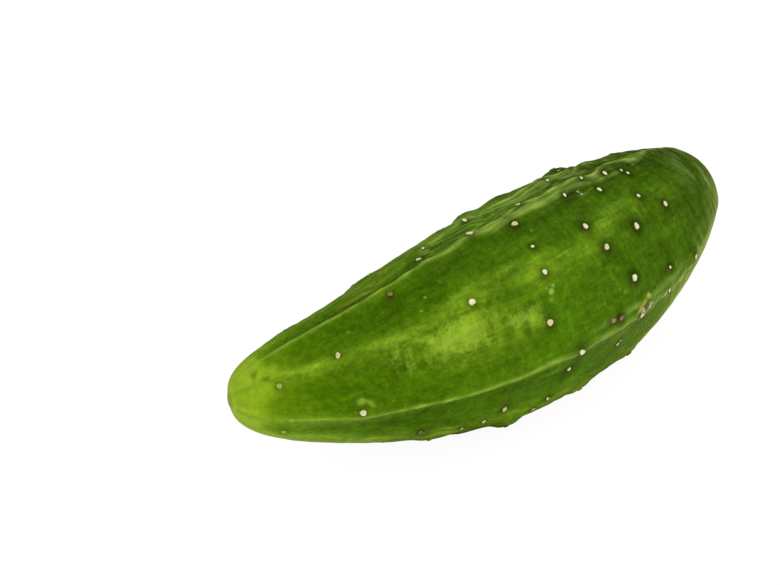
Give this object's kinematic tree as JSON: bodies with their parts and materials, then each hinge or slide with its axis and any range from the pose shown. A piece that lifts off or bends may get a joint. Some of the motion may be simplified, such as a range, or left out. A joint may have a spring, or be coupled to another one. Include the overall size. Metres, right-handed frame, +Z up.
{
  "type": "cucumber",
  "caption": "Short bowed pickling cucumber lying on its belly, ribbed and lightly warted, with corky spine scars, a pale blossom end and a dark stem end.",
  "frame": {"origin": "bottom centre of the box round the cucumber, on the surface that it lies on", "axes": "+X along the fruit from the blossom end to the stem end, -Y towards the side that bows out, +Z up"},
  "size_m": [0.1273, 0.0441, 0.0417],
  "materials": {
    "cucumber_skin": "waxy satin cucumber skin, yellow-green at the blossom end and deep green at the stem end, with cream corky spine scars"
  },
  "bodies": {
    "root": {"cucumber": "cucumber_skin"}
  },
  "joints": []
}
